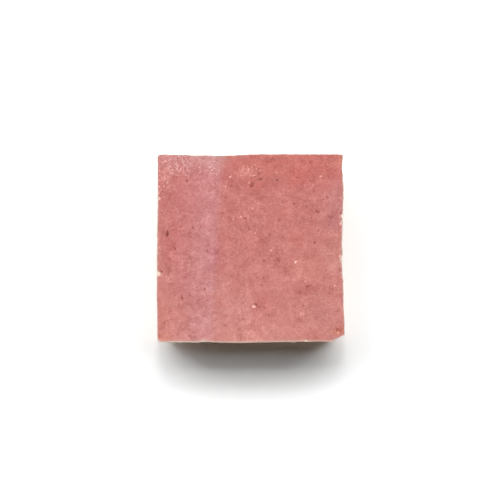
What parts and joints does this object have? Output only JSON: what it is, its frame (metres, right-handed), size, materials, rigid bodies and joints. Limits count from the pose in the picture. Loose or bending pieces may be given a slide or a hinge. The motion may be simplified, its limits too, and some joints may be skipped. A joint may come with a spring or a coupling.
{
  "type": "zellige tile",
  "caption": "Square hand-cut zellige tile in pink glaze, with a gently wavy face, a worn rim with small chips, one struck-off corner and knocked-back clay sides.",
  "frame": {"origin": "middle of the back, in the plane of the flat back", "axes": "+Z is the way the glazed face looks, square to the back; +X and +Y run along the sides, with the struck-off corner at +X, -Y"},
  "size_m": [0.101, 0.1016, 0.0112],
  "materials": {
    "pink_glazed_clay": "mottled pink glaze with a soft satin sheen and small pits on the face, bare cream clay on the worn rim, chips, cut sides and back"
  },
  "bodies": {
    "root": {"zellige_tile": "pink_glazed_clay"}
  },
  "joints": []
}
